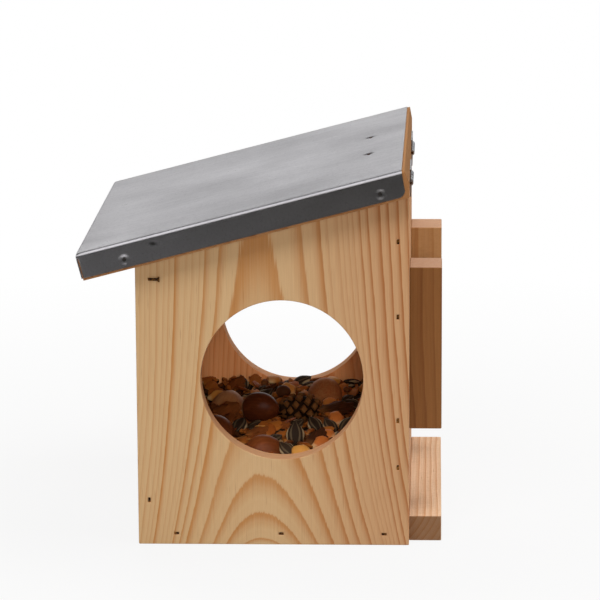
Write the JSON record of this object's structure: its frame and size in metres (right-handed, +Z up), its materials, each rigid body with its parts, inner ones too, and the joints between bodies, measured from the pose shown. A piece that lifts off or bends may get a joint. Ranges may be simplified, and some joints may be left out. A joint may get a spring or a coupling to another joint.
{
  "type": "squirrel feeder",
  "caption": "Wooden squirrel feeder box with a round feeding hole in each side, a hinged sloping roof clad in folded galvanised sheet, and battens on its back.",
  "frame": {"origin": "middle of the box's footprint, on the underside of the floor board", "axes": "+Z up, -Y towards the low front eave, +Y towards the battens that bear on the tree or wall, +X and -X through the feeding holes"},
  "size_m": [0.2076, 0.1776, 0.1909],
  "materials": {
    "panel_pine": "planed bare pine, flat-sawn grain",
    "batten_pine": "rough-sawn bare pine",
    "roof_pine": "sawn bare pine",
    "galvanised_sheet": "dull galvanised, faint rolling streaks",
    "nail_steel": "zinc plated",
    "hinge_steel": "zinc plated, bright",
    "pin_steel": "bare steel, lightly rusted",
    "brad_steel": "resin-coated steel",
    "mixed_feed": "loose dry seed",
    "hazelnut_shell": "smooth nut shell",
    "cone_scales": "dry woody scales",
    "sunflower_husk": "dry striped husk",
    "maize": "dry waxy grain"
  },
  "bodies": {
    "house": {"floor_board": "panel_pine", "front_panel": "panel_pine", "back_panel": "panel_pine", "right_side_panel": "panel_pine", "left_side_panel": "panel_pine", "right_upright_batten": "batten_pine", "left_upright_batten": "batten_pine", "lower_rail": "batten_pine", "right_side_brads": "brad_steel", "left_side_brads": "brad_steel", "batten_brads": "brad_steel", "right_hinge_fixed_leaf": "hinge_steel", "left_hinge_fixed_leaf": "hinge_steel", "right_hinge_pin": "pin_steel", "left_hinge_pin": "pin_steel", "fixed_leaf_screws": "hinge_steel", "feed_bed": "mixed_feed", "hazelnuts": "hazelnut_shell", "alder_cone": "cone_scales", "sunflower_seeds": "sunflower_husk", "maize_kernels": "maize"},
    "roof": {"roof_board": "roof_pine", "roof_sheet": "galvanised_sheet", "sheet_nails": "nail_steel", "sheet_tacks": "nail_steel", "right_hinge_roof_leaf": "hinge_steel", "left_hinge_roof_leaf": "hinge_steel", "roof_leaf_screws": "hinge_steel"}
  },
  "joints": [
    {"name": "roof_hinge", "type": "hinge", "parent": "house", "child": "roof", "pos_m": [0, 0.06735, 0.1769], "axis": [-1, 0, 0], "range_deg": [0, 105]}
  ]
}
